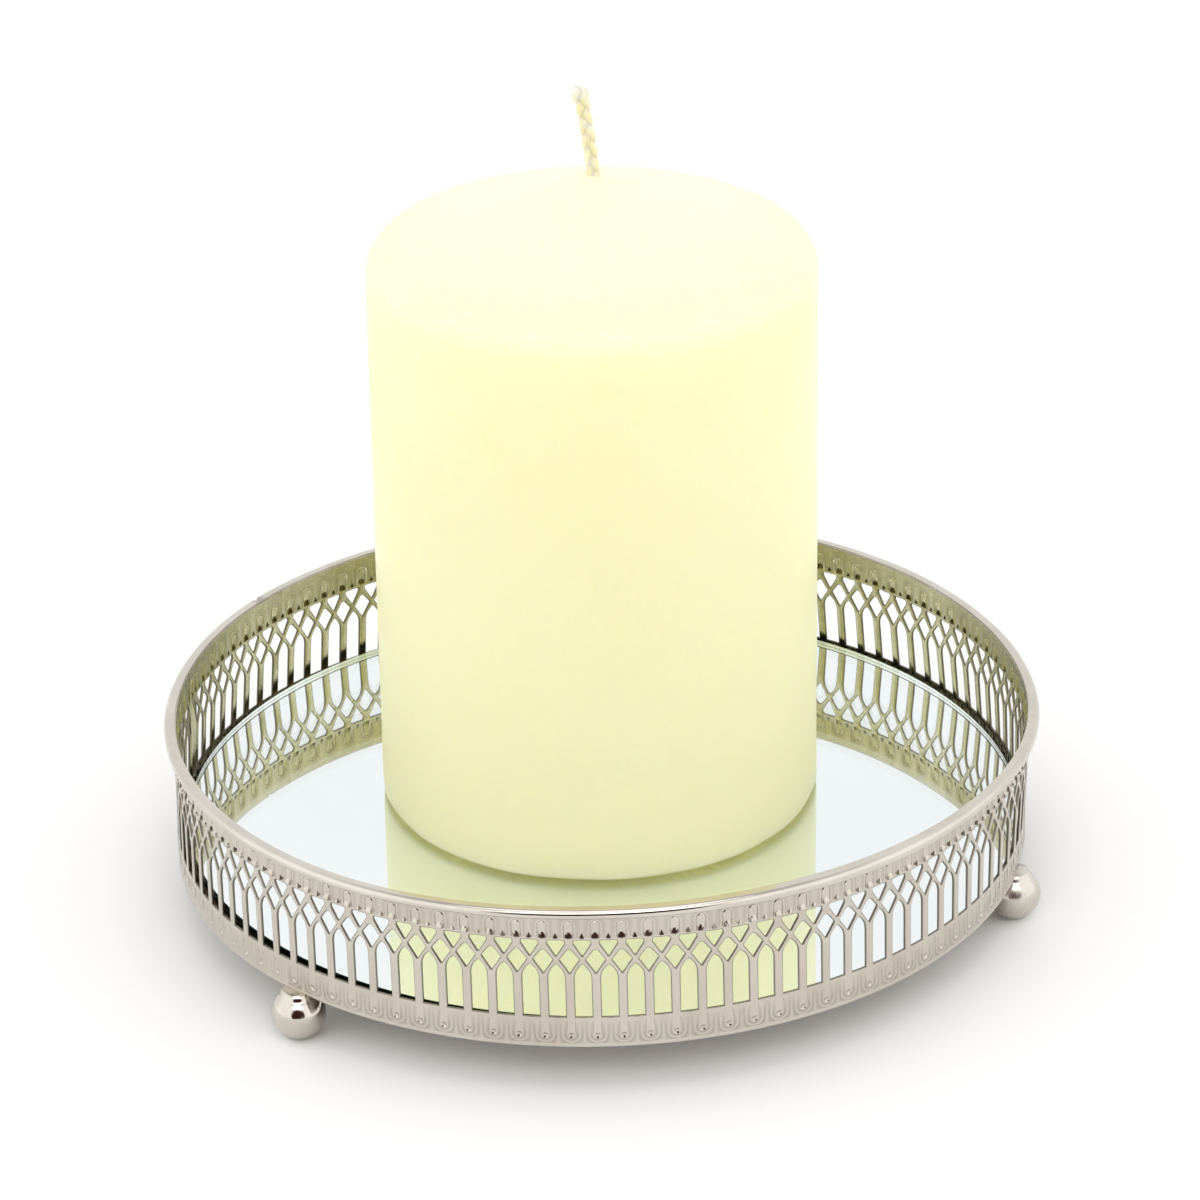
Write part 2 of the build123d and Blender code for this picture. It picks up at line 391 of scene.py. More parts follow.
def metal_finish(name, colour, worn, smooth, scuffed, scuff_scale, wave):
    material, tree, shader = start_finish(name, 1.0)
    drift = drifting(tree, colour, worn, 110.0, 0.45)
    scuffs = place_group(tree, scuffs_group, Scale=scuff_scale, Amount=scuffed)
    worn_share = math_node(tree, "MULTIPLY", scuffs.outputs["Mask"], 0.5)
    base = mix_node(tree, worn_share, drift, worn)
    # The value at each point holds dirt, painted shade and the painted dark reflection of the cut edges
    dirt_and_shade = add_node(tree, "ShaderNodeAttribute", {}, attribute_name="dirt_and_shade").outputs["Fac"]
    base = mix_node(tree, math_node(tree, "MULTIPLY", dirt_and_shade, dirt_and_shade_strength), base, dirt_and_shade_colour)
    rough = math_node(tree, "MULTIPLY_ADD", scuffs.outputs["Mask"], scuff_roughness, smooth)
    rough = math_node(tree, "MULTIPLY_ADD", dirt_and_shade, groove_roughness, rough)
    feed(tree, shader, {"Base Color": base, "Roughness": rough})
    add_bump(tree, shader, scuffs.outputs["Height"], wave)
    return material


# Roughness where smooth, amount and scale of the scuffs, and the depth of the waves in metres
nickel_sheet = metal_finish("nickel_sheet", sheet_colour, sheet_worn_colour, 0.12, 0.5, 420.0, 0.00006)
# The inner side of the gallery: duller, with a painted shaded colour
nickel_inner_painted_shade = metal_finish("nickel_inner_painted_shade", inner_painted_shade_colour, inner_worn_painted_shade_colour, 0.26, 0.5, 420.0, 0.00006)
nickel_bright = metal_finish("nickel_bright", nickel_colour, nickel_worn_colour, 0.07, 0.45, 500.0, 0.00005)
nickel_satin = metal_finish("nickel_satin", nickel_colour, nickel_worn_colour, 0.24, 0.9, 360.0, 0.0001)
nickel_rim = metal_finish("nickel_rim", nickel_colour, nickel_worn_colour, 0.07, 0.4, 300.0, 0.00004)

# %% [markdown]
# ## Glass, wax and the hidden layers
# The mirror is clear glass over silver, so its reflections start 2 mm below the surface and its edge is
# green. Wax lets light in a little way, which is what makes it glow at the shoulder. The board and the
# tape hardly show, but each has its own grain.

# %% Finish the glass and the silver
glass_colour = (0.93, 0.97, 0.955, 1)
glass_pale_colour = (0.95, 0.97, 0.97, 1)
glass_edge_colour = (0.93, 0.97, 0.92, 1)
glass_edge_pale_colour = (0.80, 0.89, 0.79, 1)
glass_edge_outside_colour = (0.02, 0.045, 0.032, 1)
silver_colour = (0.93, 0.945, 0.95, 1)
silver_dull_colour = (0.86, 0.89, 0.90, 1)


def glass_finish():
    material, tree, shader = start_finish("clear_glass")
    smears = place_group(tree, scuffs_group, Scale=90.0, Amount=0.03).outputs["Mask"]
    base = drifting(tree, glass_colour, glass_pale_colour, 40.0, 0.5)
    feed(tree, shader, {"Transmission Weight": 1.0, "IOR": 1.52, "Base Color": base, "Roughness": smears})
    return material


def glass_edge_finish():
    # Seen from inside the glass, the edge throws nearly all light back, like polished metal. From outside,
    # the eye looks into the depth of the glass, which is a dark bottle green
    material, tree, shader = start_finish("ground_glass_edge", 1.0, 0.16)
    drift = drifting(tree, glass_edge_colour, glass_edge_pale_colour, 300.0, 0.5)
    from_inside = tree.nodes.new("ShaderNodeNewGeometry").outputs["Backfacing"]
    feed(tree, shader, {"Base Color": mix_node(tree, from_inside, glass_edge_outside_colour, drift)})
    grain = place_group(tree, grain_group, Scale=4000.0, Coarse=0.5)
    add_bump(tree, shader, grain.outputs["Height"], 0.00002)
    return material


def silver_finish():
    material, tree, shader = start_finish("silvering", 1.0, 0.015)
    feed(tree, shader, {"Base Color": drifting(tree, silver_colour, silver_dull_colour, 25.0, 0.35)})
    return material


clear_glass = glass_finish()
glass_edge = glass_edge_finish()
silvering = silver_finish()

# %% Finish the wax and the wick
wax_colour = (0.95, 0.892, 0.525, 1)
# Painted light: the foot is made paler where the gallery shades it
painted_foot_light_colour = (0.995, 0.965, 0.62, 1)
# A paler tone that the wax drifts towards, and painted light on the crown
wax_pale_and_top_light_colour = (0.985, 0.955, 0.665, 1)
# A painted glow: the foot of the wax gives off light, standing in for light the mirror and the gallery
# throw into it
painted_foot_glow_colour = (0.155, 0.150, 0.058, 1)
# Levels in metres between which a colour changes, the weaker end first
painted_foot_glow_levels = (0.085, 0.018)
painted_foot_light_levels = (0.085, 0.028)
painted_top_light_levels = (wax_high.z - 0.024, wax_high.z - 0.004)
wick_tip_levels = (wick_high.z - 0.003, wick_high.z - 0.0005)
wick_colour = (0.97, 0.83, 0.45, 1)
wick_pale_colour = (0.98, 0.93, 0.74, 1)


def wax_finish():
    material, tree, shader = start_finish("ivory_wax", 0.0, 0.38)
    # The wax is paler towards the top and at the foot: painted light on the upward crown and in the shaded
    # foot
    level = object_height(tree)
    high = ramp_node(tree, level, *painted_top_light_levels)
    low = ramp_node(tree, level, *painted_foot_light_levels)
    base = drifting(tree, wax_colour, wax_pale_and_top_light_colour, 28.0, 0.35)
    base = mix_node(tree, low, base, painted_foot_light_colour)
    base = mix_node(tree, high, base, wax_pale_and_top_light_colour)
    # Painted glow in the foot of the wax
    depth = ramp_node(tree, level, *painted_foot_glow_levels)
    glow = mix_node(tree, depth, (0, 0, 0, 1), painted_foot_glow_colour)
    feed(tree, shader, {
        "Base Color": base, "Emission Color": glow, "Emission Strength": 1.0, "Specular IOR Level": 0.45,
        "Subsurface Weight": 0.55, "Subsurface Radius": (1.0, 0.85, 0.35), "Subsurface Scale": 0.010,
    })
    grain = place_group(tree, grain_group, Scale=900.0, Coarse=1.2)
    add_bump(tree, shader, grain.outputs["Height"], 0.00006, 0.6)
    return material


def wick_finish():
    material, tree, shader = start_finish("waxed_cotton", 0.0, 0.55)
    tip = ramp_node(tree, object_height(tree), *wick_tip_levels)
    drift = drifting(tree, wick_colour, wick_pale_colour, 500.0, 0.8)
    feed(tree, shader, {
        "Base Color": mix_node(tree, tip, drift, wick_pale_colour),
        "Subsurface Weight": 0.4, "Subsurface Radius": (1.0, 0.8, 0.4), "Subsurface Scale": 0.0015,
    })
    fibres = place_group(tree, scuffs_group, Scale=2500.0, Amount=1.0)
    add_bump(tree, shader, fibres.outputs["Height"], 0.00012)
    return material


ivory_wax = wax_finish()
waxed_cotton = wick_finish()

# %% Finish the board and the tape
board_colour = (0.16, 0.09, 0.045, 1)
board_pale_colour = (0.27, 0.17, 0.09, 1)
tape_colour = (0.72, 0.72, 0.68, 1)
tape_dull_colour = (0.6, 0.6, 0.56, 1)


def plain_finish(name, colour, other, scale, roughness, bump):
    material, tree, shader = start_finish(name, 0.0, roughness)
    feed(tree, shader, {"Base Color": drifting(tree, colour, other, scale, 0.8)})
    grain = place_group(tree, grain_group, Scale=scale * 4, Coarse=0.6)
    add_bump(tree, shader, grain.outputs["Height"], bump)
    return material


fibreboard = plain_finish("fibreboard", board_colour, board_pale_colour, 700.0, 0.8, 0.0002)
foam_tape = plain_finish("foam_tape", tape_colour, tape_dull_colour, 900.0, 0.7, 0.0001)
print("finishes:", [material.name for material in bpy.data.materials])

# %% [markdown]
# ## Helpers for pieces made in mesh code
# Most pieces here are either turned, like the candle and the glass, or built from a flat outline that is
# bent round. One helper makes the object, rides it on its body and hides the node it stands for.

# %% Make a piece from points and faces


def make_piece(name, points, faces, materials, body, replaced=(), sharp=35, parts=None, dirt_and_shade=None):
    # parts gives each face's place in the list of materials, and the last argument the dirt and painted
    # shade at each point
    mesh = bpy.data.meshes.new(name)
    mesh.from_pydata([tuple(p) for p in points], [], [tuple(f) for f in faces])
    mesh.update()
    mesh.shade_smooth()
    mesh.set_sharp_from_angle(angle=math.radians(sharp))
    for material in materials:
        mesh.materials.append(material)
    if parts is not None:
        mesh.polygons.foreach_set("material_index", np.asarray(parts, dtype=np.int32))
    if dirt_and_shade is not None:
        values = mesh.attributes.new("dirt_and_shade", "FLOAT", "POINT")
        values.data.foreach_set("value", np.asarray(dirt_and_shade, dtype=np.float32))
    piece = bpy.data.objects.new(name, mesh)
    bpy.context.scene.collection.objects.link(piece)
    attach(piece, body)
    if replaced:
        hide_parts(*replaced)
    print(name, len(mesh.vertices), "points", len(mesh.polygons), "faces")


# %% [markdown]
# ## Swept pieces
# The rim, the tape and the strands of the wick are each one closed section, repeated along a way. A curve
# with a bevel object could sweep it too, but rings of points also allow rounded ends and changing sections.

# %% Faces round a swept section


def swept_faces(first, rings, count, flip=False):
    # The sides between neighbouring rings of count points, and a face over each of the two ends
    faces = []
    for n in range(rings - 1):
        for k in range(count):
            a = first + n * count + k
            b = first + n * count + (k + 1) % count
            faces.append((a, a + count, b + count, b) if flip else (a, b, b + count, a + count))
    start = tuple(range(first, first + count))
    end = tuple(point + (rings - 1) * count for point in start)
    return faces + ([start, end[::-1]] if flip else [start[::-1], end])


# %% [markdown]
# ## The arcade pattern, drawn flat
# The real gallery is a strip of sheet that is stamped and pierced flat, then bent round. It is made the
# same way here. One half of a pitch is drawn flat, from the middle of a post to the middle of an arch:
# the outlines of the openings, and the lines along which the stamped relief rises and falls. A Delaunay
# triangulation that keeps those lines turns the drawing into a mesh with few faces in the plain places.

# %% Sizes of the pattern, in millimetres on the flat strip
arch_count = 107
seam_span = 8.9
seam_azimuth = math.radians(-102.85)
strip_height = (wall_top_z - wall_foot_z) / mm
seam_angle = seam_span * mm / wall_r
arch_step = (2 * math.pi - seam_angle) / (arch_count - 1)
half_pitch = arch_step * wall_r / mm / 2

arch_half = 1.47
arch_sill = 5.9
arch_spring = 13.5
arch_rise = 2.85
diamond_corners = [(0, 14.55), (1.76, 17.25), (0, 19.6), (-1.76, 17.25)]
diamond_radii = [0.12, 0.3, 0.6, 0.3]
shield_corners = [(0, 17.88), (1.54, 20.4), (1.42, 21.08), (-1.42, 21.08), (-1.54, 20.4)]
shield_radii = [0.2, 0.3, 0.2, 0.2, 0.3]

lower_band_top = 5.45
tongue_low_centre = 2.3
tongue_low_top = 4.7
dimple_centre = 2.25
dimple_radius = 0.6
lip_height = 0.62

upper_band_low = 21.5
upper_band_high = 25.3
tongue_high_centre = 23.9
bead_high_foot = 21.7
bead_high_half = 0.62
bead_high_height = 1.05
dart_half = 0.38
dart_height = 0.95
scoop_slope = 0.44
# How high or deep the relief is
tongue_height = 0.11
low_ring_height = 0.13
high_ring_height = 0.11
lip_relief = 0.05
dimple_ring, dimple_wall = 0.175, 0.42
dimple_cone, dimple_floor = 0.124, 0.58
# How far from the middle line of a tongue its flat and its edge end, and where its ring and groove are
low_tongue_flat, low_tongue_edge = 0.74, 0.9
low_ring_middle, low_ring_half, low_ring_groove = 1.5, 0.3, 1.8
high_tongue_flat, high_tongue_edge = 0.66, 0.8
high_ring_middle, high_ring_half, high_ring_groove = 1.08, 0.26, 1.36
# The distances at which the drawing gets a line, so the mesh can follow the relief
low_reaches = (0.74, 0.9, 1.2, 1.4, 1.6, 1.8)
high_reaches = (0.66, 0.82, 1.0, 1.16, 1.34)
ring_squash = 1.14
print("pitch", 2 * half_pitch, "mm, step", math.degrees(arch_step), "degrees")

# %% [markdown]
# ## Outlines of the openings
# An arch whose two curves meet in a blunt point, and diamonds and shields with rounded corners. Curve
# objects could hold them, but a triangulation takes points. Only what lies in one half pitch is kept.

# %% Outlines


def arc_points(centre, radius, start, end, steps):
    turns = np.radians(np.linspace(start, end, steps + 1))
    return [(centre[0] + radius * math.cos(t), centre[1] + radius * math.sin(t)) for t in turns]


def rounded_loop(corners, radii, grow):
    # A convex outline, counter-clockwise, moved out by grow, with its corners rounded
    loop = []
    for n, corner in enumerate(corners):
        here = Vector(corner)
        back = (Vector(corners[n - 1]) - here).normalized()
        ahead = (Vector(corners[(n + 1) % len(corners)]) - here).normalized()
        half_angle = back.angle(ahead) / 2
        inward = (back + ahead).normalized()
        radius = radii[n]
        centre = here + inward * (radius / math.sin(half_angle))
        outward = math.degrees(math.atan2(-inward.y, -inward.x))
        spread = 90 - math.degrees(half_angle)
        loop += arc_points(centre, radius + grow, outward - spread, outward + spread, 4)
    return loop


def arch_loop(grow):
    # A straight-sided arch whose two curves meet in a blunt point, centred on zero
    bend_r = (arch_half**2 + arch_rise**2) / (2 * arch_half)
    reach = bend_r - arch_half
    tip_turn = math.degrees(math.acos(reach / (bend_r + grow)))
    right = arc_points((-reach, arch_spring), bend_r + grow, 0, tip_turn, 6)
    left = [(-x, h) for x, h in reversed(right[:-1])]
    foot = arch_sill - grow
    side = arch_half + grow
    return [(-side, foot), (side, foot)] + right + left


def half_line(loop, axis, side):
    # The part of a closed loop on one side of an upright axis, as an open line
    inside = [side * (x - axis) > -1e-6 for x, h in loop]
    count = len(loop)
    start = next(n for n in range(count) if inside[n] and not inside[n - 1])
    line = []

    def crossing(a, b):
        share = (axis - a[0]) / (b[0] - a[0])
        return (axis, a[1] + share * (b[1] - a[1]))

    first = loop[start]
    if abs(first[0] - axis) > 1e-4:
        line.append(crossing(loop[start - 1], first))
    n = start
    while inside[n % count]:
        line.append(loop[n % count])
        n += 1
    last = line[-1]
    if abs(last[0] - axis) > 1e-4:
        line.append(crossing(last, loop[n % count]))
    line[0] = (axis, line[0][1])
    line[-1] = (axis, line[-1][1])
    return line


def moved(loop, shift):
    return [(x + shift, h) for x, h in loop]


def opening_lines(grow):
    # The halves of the three openings that lie in one half pitch
    return [
        half_line(moved(arch_loop(grow), half_pitch), half_pitch, -1),
        half_line(rounded_loop(diamond_corners, diamond_radii, grow), 0, 1),
        half_line(moved(rounded_loop(shield_corners, shield_radii, grow), half_pitch), half_pitch, -1),
    ]


# %% [markdown]
# ## Lines along which the relief rises
# The triangulation knows nothing of relief, so wherever the stamped height bends, the drawing gets a line.

# %% Relief lines


def tongue_line(reach, centre, end, way):
    # Along the side of a tongue and round its end, which points down for -1 and up for 1
    line = [(reach, end), (reach, centre)] + arc_points((0, centre), reach, 0, way * 90, 5)[1:]
    line[-1] = (0, line[-1][1])
    return line


def kept_between(line, low, high):
    return [p for p in line if low <= p[1] <= high]


def bead_outline(share, steps):
    # The half dome over the foot of a tongue, from its side up to its top
    turns = np.radians(np.linspace(0, 90, steps + 1))
    return [(share * bead_high_half * math.cos(t), bead_high_foot + share * bead_high_height * math.sin(t))
            for t in turns]


def relief_lines():
    lines = []
    for reach in low_reaches:
        low_line = tongue_line(reach, tongue_low_centre, lower_band_top - 0.12, -1)
        low_line = [(x, h + max(tongue_low_centre - h, 0) * (1 - 1 / ring_squash)) for x, h in low_line]
        lines.append(kept_between(low_line, lip_height + 0.02, strip_height))
    for reach in high_reaches:
        high_line = tongue_line(reach, tongue_high_centre, bead_high_foot + 0.1, 1)
        lines.append(kept_between(high_line, 0, upper_band_high - 0.05))
    for share, steps in ((1.0, 8), (0.62, 6), (0.16, 3)):
        dimple = arc_points((0, dimple_centre), share * dimple_radius, -90, 90, steps)
        lines.append([(0, dimple[0][1])] + dimple[1:-1] + [(0, dimple[-1][1])])
    for share, steps in ((1.1, 6), (0.99, 6), (0.5, 4)):
        bead = bead_outline(share, steps)
        lines.append(bead[:-1] + [(0, bead[-1][1])])
    for share in (1.14, 0.95, 0.45):
        side = half_pitch - dart_half * share
        lines.append([(side, bead_high_foot), (half_pitch, bead_high_foot + dart_height * share)])
    for level in (0.1, lip_height - 0.12, lip_height, lower_band_top, upper_band_low, upper_band_high):
        lines.append([(0, level), (half_pitch, level)])
    for level in (bead_high_foot, bead_high_foot - 0.1):
        lines.append([(0, level), (0.4, level), (1.1 * bead_high_half, level)])
        lines.append([(half_pitch - 1.14 * dart_half, level), (half_pitch, level)])
    for level in (tongue_low_top + 0.1, tongue_low_top - 0.3):
        lines.append([(0, level), (0.66, level)])
    return lines


# %% [markdown]
# ## How high the relief stands
# The stamped relief is a height over the flat drawing: tongues with a bead or a dimple at their foot, a
# ring round each tongue, darts over the arches, and rounded edges round every opening, which catch the
# light. A bump map could fake it, but real relief also shows at the silhouette and in the mirror.

# %% The relief's height


def rise(low, high, value):
    # Goes smoothly from 0 at low to 1 at high
    share = np.clip((value - low) / (high - low), 0, 1)
    return share * share * (3 - 2 * share)


def ridge(middle, half, value):
    share = np.clip(np.abs(value - middle) / half, 0, 1)
    return 0.5 + 0.5 * np.cos(math.pi * share)


def tongue_reaches(across, up):
    # How far a point is from the middle line of the tongue in the lower and in the upper band
    low_reach = np.hypot(across, ring_squash * np.minimum(up - tongue_low_centre, 0))
    return low_reach, np.hypot(across, np.maximum(up - tongue_high_centre, 0))


def relief_height(across, up):
    # across is measured from the middle of the post, in millimetres
    side = np.abs(across)
    low_reach, high_reach = tongue_reaches(side, up)
    low = tongue_height * rise(low_tongue_edge, low_tongue_flat, low_reach)
    low *= rise(tongue_low_top + 0.1, tongue_low_top - 0.3, up)
    low *= rise(dimple_centre - 0.9, dimple_centre + 0.9, up)
    # The ring is sharp at the sides of its tongue and fades out under it
    fading = 0.2 + 0.8 * rise(0.9, 2.6, up)
    low += low_ring_height * ridge(low_ring_middle, low_ring_half, low_reach) * fading
    low *= rise(lower_band_top, lower_band_top - 0.4, up) * rise(lip_height, lip_height + 0.15, up)
    low = np.maximum(low, lip_relief * rise(lip_height, lip_height - 0.12, up) * rise(0, 0.1, up))
    hollow = np.hypot(side, up - dimple_centre) / dimple_radius
    low -= (dimple_ring * np.clip((1 - hollow) / dimple_wall, 0, 1)
            + dimple_cone * np.clip(1 - hollow / dimple_floor, 0, 1))
    high = tongue_height * rise(high_tongue_edge, high_tongue_flat, high_reach)
    high += high_ring_height * ridge(high_ring_middle, high_ring_half, high_reach)
    high *= rise(upper_band_low, upper_band_low + 0.4, up)
    high *= rise(upper_band_high, upper_band_high - 0.3, up)
    # Beads and darts are ramps that stand out most at their foot and lean back, with steep sides
    over_foot = up - bead_high_foot
    blunt = rise(-0.1, 0, over_foot)
    leaning = np.maximum(over_foot, 0)
    bead_reach = np.hypot(side / bead_high_half, leaning / bead_high_height)
    bead = scoop_slope * (bead_high_height * (1.1 - 0.1 * bead_reach**2) - leaning)
    bead *= rise(1.1, 1.0, bead_reach)
    dart_left = dart_height * (1 - np.abs(side - half_pitch) / dart_half) - over_foot
    dart = scoop_slope * (dart_height - leaning) * rise(-0.12, 0.04, dart_left)
    return np.where(up < strip_height / 2, low, high + np.maximum(bead, dart) * blunt)


def edge_distance(points, lines):
    # From each point to the nearest of the lines
    best = np.full(len(points), 1e9)
    for line in lines:
        line = np.array(line)
        for a, b in zip(line[:-1], line[1:]):
            along = b - a
            share = np.clip(((points - a) @ along) / max(along @ along, 1e-12), 0, 1)
            best = np.minimum(best, np.linalg.norm(points - a - share[:, None] * along, axis=1))
    return best


# %% [markdown]
# ## From the drawing to a mesh
# The half pitch is triangulated once. Then it is laid round the wall, one copy as it is and one mirrored
# for each post, and copies share the points on their common edges. The outer and the inner face have the
# same points, so the cut edges of the sheet are simply the faces between two matching borders.

# %% Triangulate the half pitch


def inside_loop(points, loop):
    found = np.zeros(len(points), bool)
    for a, b in zip(loop, loop[1:] + loop[:1]):
        spans = (a[1] > points[:, 1]) != (b[1] > points[:, 1])
        if a[1] == b[1]:
            continue
        at = (b[0] - a[0]) * (points[:, 1] - a[1]) / (b[1] - a[1]) + a[0]
        found ^= spans & (points[:, 0] < at)
    return found


def triangulated(width, lines, loops):
    # A rectangle of the strip, cut along the lines, without what lies inside the loops
    frame_line = [(0, 0), (width, 0), (width, strip_height), (0, strip_height), (0, 0)]
    points, edges = [], []
    for line in lines + [frame_line]:
        start = len(points)
        points += [Vector(p) for p in line]
        edges += [(start + n, start + n + 1) for n in range(len(line) - 1)]
    result = delaunay_2d_cdt(points, edges, [], 0, 1e-4)
    flat = np.array([tuple(p) for p in result[0]])
    faces = np.array([tuple(f) for f in result[2]])
    middles = flat[faces].mean(axis=1)
    keep = np.ones(len(faces), bool)
    for loop in loops:
        keep &= ~inside_loop(middles, loop)
    faces = faces[keep]
    a, b, c = (flat[faces[:, n]] for n in range(3))
    area = (b[:, 0] - a[:, 0]) * (c[:, 1] - a[:, 1]) - (b[:, 1] - a[:, 1]) * (c[:, 0] - a[:, 0])
    faces[area < 0] = faces[area < 0][:, ::-1]
    return flat, faces[np.abs(area) > 1e-7]


edge_lines = opening_lines(0)
pattern_lines = edge_lines + opening_lines(0.09) + opening_lines(0.24) + relief_lines()
half_points, half_faces = triangulated(half_pitch, pattern_lines, edge_lines)
half_relief = relief_height(half_points[:, 0], half_points[:, 1])
half_edge = edge_distance(half_points, edge_lines)
print("half a pitch has", len(half_points), "points and", len(half_faces), "faces")

# %% [markdown]
# ## The seam
# At the left the ends of the strip lap over each other. No opening was stamped there, only the two bands,
# and a dark line shows where the outer end stops. A narrow slit draws it, as a step would need two sheets.

# %% The plate at the seam, where the strip's ends overlap
seam_width = seam_span - 2 * half_pitch
slit_place = seam_width / 2 + 1.8
slit_half = 0.09


def seam_plate():
    border = sorted({round(h, 5) for x, h in half_points if abs(x) < 1e-5})
    sides = [[(x, h) for h in border] for x in (0, seam_width)]
    slit = [(slit_place + x, h) for x, h in
            ((-slit_half, 0), (slit_half, 0), (slit_half, strip_height), (-slit_half, strip_height))]
    lines = sides + [slit + slit[:1]]
    for way in (-1, 1):
        lines += [moved([(way * x, h) for x, h in line], seam_width / 2) for line in relief_lines()]
    lines = [[p for p in line if -1e-6 <= p[0] <= seam_width + 1e-6] for line in lines]
    points, faces = triangulated(seam_width, [line for line in lines if len(line) > 1], [slit])
    heights = relief_height(points[:, 0] - seam_width / 2, points[:, 1])
    return points, faces, heights


# %% [markdown]
# ## Round the wall, out of true as it is
# A scan would copy the faults of one sample. Here each fault is a soft swell at its own azimuth: where the
# rim bulges or dips, where the foot of the wall stands out, and where the arches come late.

# %% Lay the pattern round the wall
edge_drop = 0.15
edge_round = 0.24
inner_relief = 1.5
# Where the wall and the rim are out of true: millimetres, and azimuth and spread in degrees
right_bulge = (1.0, 80, 21)
left_dent = (-0.42, -92, 26)
right_front_rise = (0.3, 18, 35)
left_front_dip = (-0.5, -38, 20)
rim_lift = 0.08
rim_tilt = 0.45
back_spread = 0.95
back_from, back_full = 80, 125
spread_from, spread_reach = 16, 10
late_arches = math.radians(0.8)
# From these heights on, in millimetres, the wall leans with the rim and stretches up to it
lean_from, lean_reach = 5, 20
stretch_from, stretch_reach = 21.5, 5
# Painted shade on the steep slopes of the relief, and dirt with painted shade in the grooves beside its
# rings
painted_slope_shade = 0.35
valley_dirt_and_shade = 0.4
# Points that are the same to about 5 millionths of a radian and 0.2 thousandths of a millimetre are joined
turn_grid = 2e5
height_grid = 5e3


def relief_slope(across, up):
    step = 0.03
    sideways = relief_height(across + step, up) - relief_height(across - step, up)
    upwards = relief_height(across, up + step) - relief_height(across, up - step)
    return np.hypot(sideways, upwards) / (2 * step)


def relief_valley(across, up):
    # 1 in the narrow grooves beside the rings of the two bands
    low_reach, high_reach = tongue_reaches(across, up)
    low = ridge(low_tongue_edge, 0.12, low_reach) + ridge(low_ring_groove, 0.12, low_reach)
    low += 0.8 * ridge(low_ring_middle - low_ring_half, 0.1, low_reach)
    high = ridge(high_tongue_edge, 0.12, high_reach) + 0.7 * ridge(high_ring_groove, 0.12, high_reach)
    return np.clip(low * (up < lower_band_top - 0.7) + high * (up > bead_high_foot), 0, 1)


def swell(turn, place):
    amount, azimuth, spread = place
    return amount * np.exp(-(((turn - math.radians(azimuth)) / math.radians(spread)) ** 2))


def out_of_true(turn):
    # How far the rim stands out from a true circle: it was pushed out at the right
    return swell(turn, right_bulge) + swell(turn, left_dent)


def rim_level(turn):
    # The rim lies a little higher at the left than at the right, with a soft dip at the left front
    return rim_lift - rim_tilt * np.sin(turn) + swell(turn, right_front_rise) + swell(turn, left_front_dip)


def foot_spread(turn, up):
    # At the back the foot of the wall stands out, and leaves a wider gap round the mirror
    at_back = rise(back_from, back_full, np.degrees(np.abs(turn)))
    return back_spread * at_back * np.clip((spread_from - up) / spread_reach, 0, 1)


def pattern_shift(turn):
    # Where the strip bulges, from the front round to the right, the arches come a little late
    turn = np.degrees(turn)
    return late_arches * rise(2, 45, turn) * rise(155, 105, turn)


def half_pitch_at(turn, way):
    # One copy: its points as angle and height, its faces, its relief and its distance from an opening
    turns = turn + way * half_points[:, 0] / (wall_r / mm)
    faces = half_faces if way == 1 else half_faces[:, ::-1]
    return turns, half_points[:, 1], faces, half_relief, half_edge


def whole_pattern():
    posts = [first_arch_middle + (n + 0.5) * arch_step for n in range(arch_count - 1)]
    sheets = [half_pitch_at(post, way) for post in posts for way in (1, -1)]
    flat_r = wall_r / mm
    start = seam_azimuth - seam_width / 2 / flat_r
    end = seam_azimuth + seam_width / 2 / flat_r
    points, faces, heights = seam_plate()
    far = np.full(len(points), 1.0)
    sheets += [half_pitch_at(start, -1), half_pitch_at(end, 1)]
    sheets.append((start + points[:, 0] / flat_r, points[:, 1], faces, heights, far))
    return sheets


def welded(sheets):
    # Joins the copies where their points coincide
    turn, up, relief, edge = (np.concatenate([s[n] for s in sheets]) for n in (0, 1, 3, 4))
    starts = np.cumsum([0] + [len(s[0]) for s in sheets[:-1]])
    faces = np.concatenate([s[2] + start for s, start in zip(sheets, starts)])
    turn = np.mod(turn - seam_azimuth - 1, 2 * math.pi)
    keys = np.stack([np.round(turn * turn_grid), np.round(up * height_grid)], axis=1).astype(np.int64)
    _, first, back = np.unique(keys, axis=0, return_index=True, return_inverse=True)
    faces = back.reshape(-1)[faces]
    real = (faces[:, 0] != faces[:, 1]) & (faces[:, 1] != faces[:, 2]) & (faces[:, 2] != faces[:, 0])
    return turn[first] + seam_azimuth + 1, up[first], relief[first], edge[first], faces[real]


def border_edges(faces):
    # Edges that only one face uses, in that face's direction
    pairs = np.concatenate([faces[:, [0, 1]], faces[:, [1, 2]], faces[:, [2, 0]]])
    low_high = np.sort(pairs, axis=1)
    code = low_high[:, 0].astype(np.int64) * (faces.max() + 1) + low_high[:, 1]
    _, first, count = np.unique(code, return_index=True, return_counts=True)
    return pairs[first[count == 1]]


def on_wall(turn, radius, up):
    # An angle is counted from the front towards the right
    return np.stack([radius * np.sin(turn), -radius * np.cos(turn), up], axis=1)


first_arch_middle = seam_azimuth + seam_angle / 2


